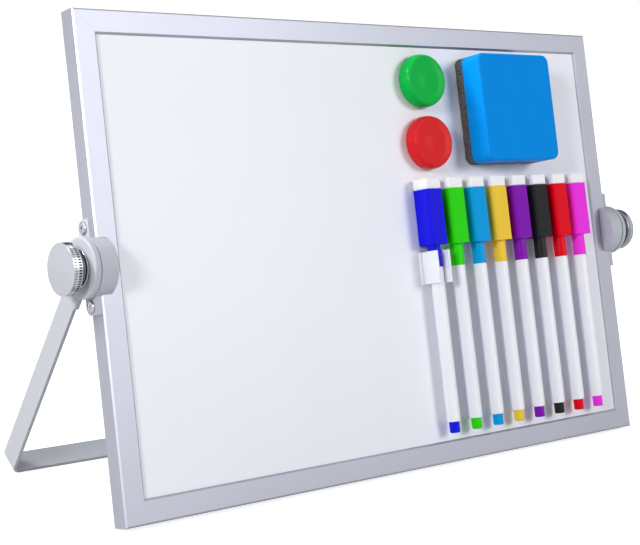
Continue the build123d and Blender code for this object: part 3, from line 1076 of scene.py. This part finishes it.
@dataclass
class ThumbKnob(AxlePiece):
    """A thumb knob with a row of square notches at its back and fine ribs at its face, their cuts
    darkened with painted shade.
    """

    tree: GeometryTree
    notch_count: int = 60
    head: float = 3.9 * MM
    face_round: float = 0.18 * MM
    back_round: float = 0.2 * MM
    notch_start: float = 0.4 * MM
    notch_length: float = 1.35 * MM
    notch_depth: float = 0.9 * MM
    notch_width: float = 0.64 * MM
    rib_start: float = 2.45 * MM
    rib_length: float = 1.2 * MM
    rib_depth: float = 0.3 * MM
    rib_gap: float = 0.36 * MM
    sunk_share: float = 0.3
    stud_radius: float = 2.45 * MM
    thread_pitch: float = 0.8 * MM
    thread_depth: float = 0.3 * MM
    thread_start: float = 0.25
    thread_rise: float = 0.4
    thread_crest: float = 0.5

    def stud(self, length: float) -> Profile:
        """Return the profile of the threaded stud, from its end to the knob's back.

        Args:
            length: The stud's length.

        Returns:
            The profile's points.
        """
        core, pitch = self.stud_radius - self.thread_depth, self.thread_pitch
        points: Profile = [(0.0, -length), (core, -length)]
        for turn in range(int(length / pitch) - 1):
            base = -length + (turn + self.thread_start) * pitch
            points.append((core, base))
            points.append((self.stud_radius, base + self.thread_rise * pitch))
            points.append((self.stud_radius, base + self.thread_crest * pitch))
        points.append((core, 0.0))
        return points

    def profile(self, radius: float, length: float) -> Profile:
        """Return the whole knob's profile, with its head from 0 up to its height.

        Args:
            radius: The head's radius.
            length: The stud's length.

        Returns:
            The profile's points.
        """
        points = self.stud(length)
        points += arc((radius - self.back_round, self.back_round), self.back_round, -90, 0, steps=5)
        for start, run, depth in self.rows():
            points += [(radius, start), (radius - depth, start)]
            points += [(radius - depth, start + run), (radius, start + run)]
        edge = (radius - self.face_round, self.head - self.face_round)
        points += arc(edge, self.face_round, 0, 90, steps=6)
        points.append((0.0, self.head))
        return points

    def rows(self) -> tuple[Triple, Triple]:
        """Return the start, length and depth of the notches' groove and of the ribs' groove."""
        notches = (self.notch_start, self.notch_length, self.notch_depth)
        return notches, (self.rib_start, self.rib_length, self.rib_depth)

    def sunk(self, spot: Vector, radius: float) -> bool:
        """Tell whether a face's middle lies inside a notch or between two ribs.

        Args:
            spot: The face's middle.
            radius: The head's radius.

        Returns:
            True if it does.
        """
        depth = radius - math.hypot(spot.x, spot.y)
        return any(
            start - SLACK < spot.z < start + length + SLACK
            and self.sunk_share * sink < depth < sink + SLACK
            for start, length, sink in self.rows()
        )

    def build(self) -> None:
        """Make the knob, put it in the CAD knob's place and set its collar under it."""
        node = f"knob_{self.side.word}"
        radius, inner, outer = self.span(node)
        profile = self.profile(radius, outer - inner - self.head)
        piece = lathe(f"thumb_{node}", profile, 3 * self.notch_count)
        pitch = 2 * math.pi * radius / self.notch_count
        values = {"Count": self.notch_count, "Material": self.finishes.knob}
        gaps = {"Tooth": self.notch_width, "Rib": self.rib_gap}
        for (row, gap), (start, length, depth) in zip(gaps.items(), self.rows()):
            values[f"{row} Radius"] = radius - depth / 2
            values[f"{row} Size"] = (depth, pitch - gap, length)
            values[f"{row} Height"] = start + length / 2
        self.tree.run(piece, values)
        piece.data.materials.append(self.finishes.knob_face)
        piece.data.materials.append(self.finishes.knob_groove)
        # End faces take the satin face finish. Faces sunk in a notch or between two ribs take the
        # near-black finish, which is painted shade in the cuts.
        for face in piece.data.polygons:
            if face.center.z > self.head - self.face_round / 2:
                face.material_index = 1
            elif self.sunk(face.center, radius):
                face.material_index = 2
        place = self.board.axle(self.side, outer - self.head)
        install(piece, place, node, [node])
        Collar(self.board, self.finishes, self.side).build()


@dataclass
class ButtonMagnet(Part):
    """A round plastic button with a shallow dished ring and a soft crown."""

    colour: str
    crest: float = 0.85
    fullness: float = 2.3
    foot: float = 2.0 * MM
    dish_depth: float = 0.32 * MM
    dish_place: float = 0.64
    crown_drop: float = 0.05 * MM
    dish_steps: int = 24
    pocket_radius: float = 9.1 * MM
    pocket_depth: float = 3.1 * MM
    segments: int = 96

    def profile(self, radius: float, height: float) -> Profile:
        """Return the button's profile, from the roof of its pocket to the top of its crown.

        Args:
            radius: The button's radius.
            height: Its height off the face.

        Returns:
            The profile's points.
        """
        points: Profile = [(0.0, self.pocket_depth), (self.pocket_radius, self.pocket_depth)]
        points.append((self.pocket_radius, 0.0))
        points += arc((radius - self.foot, self.foot), self.foot, -90, 0, steps=10)
        crest = radius * self.crest
        for across, up in arc((0.0, 0.0), 1.0, 4, 86, steps=20):
            reach = crest + (radius - crest) * across ** (2 / self.fullness)
            points.append((reach, self.foot + (height - self.foot) * up))
        outer, inner = (1 - self.dish_place, 0.0), (self.dish_place, self.crown_drop)
        for step in range(self.dish_steps + 1):
            share = 1 - step / self.dish_steps
            off = share - self.dish_place
            span, edge = outer if off > 0 else inner
            dip = edge + (self.dish_depth - edge) * (1 + math.cos(math.pi * off / span)) / 2
            points.append((crest * share, height - dip))
        return points

    def build(self) -> None:
        """Make the button and dress its disc."""
        node, name = f"magnet_{self.colour}", f"button_{self.colour}"
        width, _, height, centre = self.board.measure(node)
        profile, finish = self.profile(width / 2, height), getattr(self.finishes, node)
        piece = lathe(name, profile, self.segments, finish)
        install(piece, self.board.panel(centre), node, [node])
        dress(self.finishes.magnet_iron, f"{node}_disc")


@dataclass(frozen=True)
class FeltForm:
    """The form of a piece of felt: cut sides that wander a little, and loose fibres on it.

    The waves are the turns of the wandering for each step along the outline and for each metre
    up the side. A fibre's levels are its height, its bend and its thickness, as shares.
    """

    corner: float
    wobble: float
    corner_steps: int
    fibre_length: float
    fibre_radius: float
    density: float
    lean: float
    edge: float = 0.5 * MM
    edge_share: float = 0.25
    side_steps: int = 4
    layers: int = 6
    waves: tuple[Span, ...] = ((1.7, 5200.0), (0.61, -2300.0))
    fibre_sides: int = 3
    fibre_levels: tuple[Triple, ...] = ((0.0, 0.0, 1.0), (0.35, 0.05, 0.9), (0.7, 0.2, 0.7))
    fibre_tip: Triple = (0.45, 0.0, 0.95)

    def outline(self, width: float, height: float) -> Profile:
        """Return the outline of a slab, with its corners rounded.

        Args:
            width: The slab's width.
            height: The slab's height.

        Returns:
            Its points, once round from the right.
        """
        across, up = width / 2 - self.corner, height / 2 - self.corner
        middles = ((across, up), (-across, up), (-across, -up), (across, -up))
        corners = [
            arc(middle, self.corner, 90 * index, 90 * index + 90, self.corner_steps)
            for index, middle in enumerate(middles)
        ]
        points: Profile = []
        straight = self.side_steps * self.corner_steps
        for corner, following in zip(corners, corners[1:] + corners[:1]):
            points += corner
            (x, y), (next_x, next_y) = corner[-1], following[0]
            shares = (step / straight for step in range(1, straight))
            points += [(x + (next_x - x) * share, y + (next_y - y) * share) for share in shares]
        return points

    def slab(self, name: str, size: Triple) -> Object:
        """Build a slab of felt that stands on z = 0.

        Args:
            name: The piece's name.
            size: Its width, height and depth.

        Returns:
            The slab, closed all round.
        """
        width, height, depth = size
        edge, part = self.edge, self.edge_share * self.edge
        levels = [(edge, 0.0), (part, part)]
        rise, count = depth - 2 * edge, self.layers
        levels += [(0.0, edge + rise * layer / count) for layer in range(count + 1)]
        levels += [(part, depth - part), (edge, depth)]
        outline = self.outline(width, height)
        form = bmesh.new()
        rings = []
        for inset, level in levels:
            rings.append([])
            for index, (x, y) in enumerate(outline):
                turns = (math.sin(index * along + level * up) for along, up in self.waves)
                wave = sum(turns) / len(self.waves)
                shrink = 1 - (inset + self.wobble * (1 + wave)) / math.hypot(x, y)
                rings[-1].append(form.verts.new((x * shrink, y * shrink, level)))
        skin(form, rings)
        form.faces.new(reversed(rings[0]))
        form.faces.new(rings[-1])
        bmesh.ops.recalc_face_normals(form, faces=form.faces)
        return solid(name, form)

    def fibre(self) -> Object:
        """Build one curved fibre that stands on the origin.

        Returns:
            The fibre.
        """
        form = bmesh.new()
        length, count = self.fibre_length, self.fibre_sides
        rings = [
            ring(form, self.fibre_radius * share, height * length, count, bend * length)
            for height, bend, share in self.fibre_levels
        ]
        rings.append([form.verts.new([part * length for part in self.fibre_tip])] * count)
        form.faces.new(reversed(rings[0]))
        skin(form, rings)
        return solid("loose_fibre", form)

    def build(
        self, name: str, size: Triple, tree: GeometryTree, seed: int, material: Material
    ) -> Object:
        """Build a slab with its loose fibres.

        Args:
            name: The piece's name.
            size: Its width, height and depth.
            tree: The tree that scatters fibres.
            seed: The seed of the scatter.
            material: The felt's finish.

        Returns:
            The piece, which stands on z = 0.
        """
        piece, fibre = self.slab(name, size), self.fibre()
        values = {"Fibre": fibre, "Density": self.density, "Lean": self.lean}
        tree.run(piece, {**values, "Seed": seed, "Material": material})
        bpy.data.objects.remove(fibre)
        return piece


@dataclass
class Eraser(Part):
    """The eraser: a foam block with a magnet, on a felt sole."""

    tree: GeometryTree
    seed: int = 7
    felt: FeltForm = FeltForm(
        corner=4.0 * MM,
        wobble=0.18 * MM,
        corner_steps=12,
        fibre_length=0.55 * MM,
        fibre_radius=0.022 * MM,
        density=1.1e6,
        lean=1.1,
    )

    def build(self) -> None:
        """Dress the block and its magnet, and make the felt sole."""
        finishes = self.finishes
        dress(finishes.eraser_blue, "eraser_block")
        dress(finishes.magnet_iron, "eraser_magnet")
        *size, centre = self.board.measure("eraser_felt")
        name = "eraser_felt_sole"
        piece = self.felt.build(name, size, self.tree, self.seed, finishes.eraser_felt)
        place = self.board.panel(centre)
        install(piece, place, "eraser", ["eraser_felt"], FELT_CREASE)


@dataclass
class Marker(Part):
    """One marker of the row: barrel, plug, cap, pad and nib."""

    ink: Ink
    tree: GeometryTree
    seed: int
    pad_height: float = 5.0 * MM
    nib_radius: float = 0.98 * MM
    nib_length: float = 2.7 * MM
    nib_cover: float = 0.1 * MM
    nib_segments: int = 24
    felt: FeltForm = FeltForm(
        corner=0.8 * MM,
        wobble=0.03 * MM,
        corner_steps=4,
        fibre_length=0.25 * MM,
        fibre_radius=0.015 * MM,
        density=1.2e6,
        lean=1.2,
    )

    def build(self) -> None:
        """Dress the hard pieces and make the pad and the nib."""
        word = self.ink.word
        dress(self.finishes.white, f"marker_{word}_barrel")
        dress(self.finishes.inks[self.ink], f"marker_{word}_plug", f"marker_{word}_cap")
        self.pad()
        self.nib()

    def pad(self) -> None:
        """Make the felt pad on top of the cap."""
        word = self.ink.word
        node = f"marker_{word}_pad"
        width, height, _, centre = self.board.measure(node)
        name, size = f"wiping_pad_{word}", (width, width, self.pad_height)
        piece = self.felt.build(name, size, self.tree, self.seed, self.finishes.pad_felt)
        top = centre + self.board.up * (height / 2 - self.pad_height)
        top += self.board.out * (width / 2)
        place = Matrix.Translation(top) @ self.board.turn
        install(piece, place, f"cap_{word}", [node], FELT_CREASE)

    def nib(self) -> None:
        """Make the ink-soaked nib over the barrel's tip."""
        word = self.ink.word
        _, height, depth, centre = self.board.measure(f"marker_{word}_barrel")
        radius, length = self.nib_radius, self.nib_length
        profile: Profile = [(0.0, 0.0), (radius, 0.0), (radius, length - radius)]
        profile += arc((0.0, length - radius), radius, 8, 90, steps=6)[:-1]
        profile.append((0.0, length))
        piece = lathe(f"nib_{word}", profile, self.nib_segments, self.finishes.nibs[self.ink])
        tip = centre + self.board.out * (depth / 2)
        tip += self.board.up * (height / 2 - length + self.nib_cover)
        place = Matrix.Translation(tip) @ self.board.turn
        install(piece, place, f"barrel_{word}")


def extrude(form: Form, face: bmesh.types.BMFace, way: Triple) -> None:
    """Push a face along a vector, with new sides behind it.

    Args:
        form: The working mesh.
        face: The face.
        way: How far it goes.
    """
    made = bmesh.ops.extrude_face_region(form, geom=[face])["geom"]
    moved = [item for item in made if isinstance(item, bmesh.types.BMVert)]
    bmesh.ops.translate(form, vec=way, verts=moved)


@dataclass
class PenClip(Part):
    """The clip that holds the blue marker between two thin arms on a wider foot."""

    slot: float = 3.3 * MM
    floor: float = 1.6 * MM
    wall: float = 0.9 * MM
    foot: float = 1.1 * MM
    shortening: float = 1.7 * MM
    trim: float = 1.4 * MM
    edge: float = 0.2 * MM
    pocket_margin: float = 1.1 * MM
    pocket_depth: float = 0.85 * MM

    def section(self, half: float, reach: float) -> Profile:
        """Return the clip's section across the marker.

        Args:
            half: Half of the foot's width.
            reach: How far the arms stand off the board.

        Returns:
            The section's points, as width and height off the board.
        """
        arm = self.slot + self.wall
        right = [(half, 0.0), (half, self.foot), (arm, self.foot), (arm, reach)]
        right += [(self.slot, reach), (self.slot, self.floor)]
        return right + [(-across, up) for across, up in reversed(right)]

    def build(self) -> None:
        """Make the clip with the pocket in its back, and dress its magnet."""
        width, height, depth, centre = self.board.measure("pen_clip")
        height -= self.trim
        centre -= self.board.up * (self.trim / 2)
        form = bmesh.new()
        outline = self.section(width / 2, depth - self.shortening)
        end = [form.verts.new((across, -height / 2, up)) for across, up in outline]
        extrude(form, form.faces.new(end), (0, height, 0))
        bmesh.ops.recalc_face_normals(form, faces=form.faces)
        rounding = {"offset": self.edge, "segments": 3, "profile": 0.5, "affect": "EDGES"}
        bmesh.ops.bevel(form, geom=form.edges[:], **rounding)
        back = min(
            form.faces, key=lambda face: (round(face.calc_center_median().z, 6), -face.calc_area())
        )
        bmesh.ops.inset_region(form, faces=[back], thickness=self.pocket_margin)
        extrude(form, back, (0, 0, self.pocket_depth))
        form.faces.remove(back)
        bmesh.ops.recalc_face_normals(form, faces=form.faces)
        piece = solid("marker_clip", form)
        piece.data.materials.append(self.finishes.white)
        install(piece, self.board.panel(centre), "clip", ["pen_clip"])
        dress(self.finishes.magnet_iron, "clip_magnet")


@dataclass
class PhotoCamera:
    """The camera that took the photograph, in the world's frame."""

    place: Triple = (-0.45494, -0.49654, 0.21960)
    right: Triple = (0.76711, -0.63604, 0.08366)
    up: Triple = (0.05487, 0.19499, 0.97927)
    back: Triple = (-0.63916, -0.74662, 0.18447)
    lens: float = 83.92
    sensor: float = 36.0
    shift: float = -0.0374
    reach: float = 20.0

    def build(self) -> None:
        """Make the camera and give it to the scene."""
        data = bpy.data.cameras.new("photo_camera")
        data.sensor_fit = "HORIZONTAL"
        data.sensor_width = self.sensor
        data.lens = self.lens
        data.shift_y = self.shift
        data.clip_end = self.reach
        camera = new_object("photo_camera", data)
        turn = Matrix((self.right, self.up, self.back)).transposed().to_4x4()
        camera.matrix_world = Matrix.Translation(self.place) @ turn
        bpy.context.scene.camera = camera


def compass(azimuth: float, height: float = 0.0) -> Vector:
    """Return the way to a point round the object.

    Args:
        azimuth: Where it lies; 0 is in front and 90 to the right, in degrees.
        height: How high it stands over the horizon, in degrees.

    Returns:
        The way, one metre long.
    """
    turn, climb = math.radians(azimuth), math.radians(height)
    level = math.cos(climb)
    return Vector((math.sin(turn) * level, -math.cos(turn) * level, math.sin(climb)))


@dataclass(frozen=True)
class Softbox:
    """A square area lamp that faces the pivot."""

    name: str
    azimuth: float
    height: float
    distance: float
    size: float
    level: float
    mirrored: bool = True
    lights: bool = True

    def build(self, target: Vector) -> None:
        """Make the lamp.

        Args:
            target: The point that it faces.
        """
        ray = compass(self.azimuth, self.height)
        data = bpy.data.lights.new(self.name, "AREA")
        data.size = self.size
        data.energy = self.level * (math.pi * self.distance) ** 2
        lamp = new_object(self.name, data)
        lamp.visible_glossy = self.mirrored
        lamp.visible_diffuse = self.lights
        lamp.location = target + ray * self.distance
        lamp.rotation_euler = (-ray).to_track_quat("-Z", "Y").to_euler()


def matt_sheet(name: str, colour: Colour, corners: Sequence[Triple]) -> tuple[Object, Shader]:
    """Build a flat sheet without a shine.

    Args:
        name: The sheet's name.
        colour: Its colour.
        corners: Its four corners, in turn.

    Returns:
        The sheet and its material's shader.
    """
    mesh = bpy.data.meshes.new(name)
    mesh.from_pydata(corners, [], [(0, 1, 2, 3)])
    shader = Shader(name)
    shader.set(Base_Color=colour, Roughness=0.9, Specular_IOR_Level=0.0)
    mesh.materials.append(shader.material)
    return new_object(name, mesh), shader


@dataclass
class Studio:
    """A white sweep with soft lamps and a dark flag that the metal mirrors."""

    target: Vector
    floor_size: float = 12.0
    floor_colour: Colour = (0.55, 0.55, 0.555)
    glow_near: float = 0.74
    glow_far: float = 1.0
    glow_mirrored: float = 0.4
    near_reach: float = 0.3
    far_reach: float = 1.4
    flag_azimuth: float = 125.0
    flag_distance: float = 1.3
    flag_width: float = 2.0
    flag_height: float = 1.3
    flag_colour: Colour = (0.05, 0.05, 0.055)
    ambient: float = 0.15
    lamps: tuple[Softbox, ...] = (
        Softbox("key", 31, 26, 2.2, 0.7, 0.47, mirrored=False),
        Softbox("sheen", 20, 33, 2.0, 1.5, 0.44, lights=False),
        Softbox("fill", -70, 20, 2.2, 0.5, 0.46),
        Softbox("left", -115, 38, 2.2, 0.6, 1.0),
        Softbox("back", 165, 28, 2.2, 1.2, 0.42, mirrored=False),
    )

    def build(self) -> None:
        """Make the floor, the lamps and the surroundings."""
        self.floor()
        self.world()
        self.flag()
        for lamp in self.lamps:
            lamp.build(self.target)
        bpy.context.scene.view_settings.view_transform = "Standard"

    def floor(self) -> None:
        """Make the pale floor, which shows the object's shadow on white."""
        half = self.floor_size / 2
        signs = ((-1, -1), (1, -1), (1, 1), (-1, 1))
        corners = [(half * x, half * y, 0) for x, y in signs]
        floor, shader = matt_sheet("floor", self.floor_colour, corners)
        reach = shader.length(shader.coordinates())
        limits = (self.near_reach, self.far_reach)
        glow = shader.spread(reach, limits, (self.glow_near, self.glow_far))
        path = shader.node("ShaderNodeLightPath").outputs
        mirrored = shader.spread(path["Is Glossy Ray"], (0, 1), (0, self.glow_mirrored))
        direct = shader.sum(path["Is Camera Ray"], path["Is Transmission Ray"])
        level = shader.math("MULTIPLY", glow, shader.sum(direct, mirrored))
        light = shader.add("ShaderNodeEmission", {"Strength": level})
        both = shader.add("ShaderNodeAddShader", {0: shader.surface.outputs[0], 1: light})
        shader.feed(shader.output.inputs[0], both)

    def flag(self) -> None:
        """Stand a dark flag outside the picture, for the metal to mirror."""
        foot = compass(self.flag_azimuth) * self.flag_distance
        along = compass(self.flag_azimuth + 90) * (self.flag_width / 2)
        rise = Vector((0, 0, self.flag_height))
        corners = [foot - along, foot + along, foot + along + rise, foot - along + rise]
        flag, _ = matt_sheet("flag_back", self.flag_colour, corners)
        flag.visible_camera = False
        flag.visible_shadow = False

    def world(self) -> None:
        """Light the scene softly, and show white to the camera and in reflections."""
        world = bpy.data.worlds.new("studio")
        world.use_nodes = True
        nodes = Nodes(world.node_tree)
        path = nodes.node("ShaderNodeLightPath").outputs
        seen = nodes.math("ADD", path["Is Camera Ray"], path["Is Glossy Ray"])
        seen = nodes.math("ADD", seen, path["Is Transmission Ray"], clamp=True)
        values = {"To Min": self.ambient, "To Max": 1.0, "Value": seen}
        strength = nodes.add("ShaderNodeMapRange", values, "Result")
        back = nodes.add("ShaderNodeBackground", {"Color": (1.0, 1.0, 1.0), "Strength": strength})
        nodes.node("ShaderNodeOutputWorld", {0: back})
        bpy.context.scene.world = world


def main() -> None:
    """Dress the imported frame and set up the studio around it."""
    logging.basicConfig(level=logging.INFO, format="%(name)s: %(message)s")
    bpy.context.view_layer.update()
    board = BoardFrame.read()
    finishes = Finishes(board)
    rims, fibres = rim_tree(), fibre_tree()
    PhotoCamera().build()
    Board(board, finishes).build()
    Stand(board, finishes).build()
    for side in Side:
        ThumbKnob(board, finishes, side, rims).build()
    for colour in ("green", "red"):
        ButtonMagnet(board, finishes, colour).build()
    Eraser(board, finishes, fibres).build()
    PenClip(board, finishes).build()
    for order, ink in enumerate(Ink):
        Marker(board, finishes, ink, fibres, seed=11 + order).build()
    Studio(board.pivot).build()


if __name__ == "__main__":
    main()
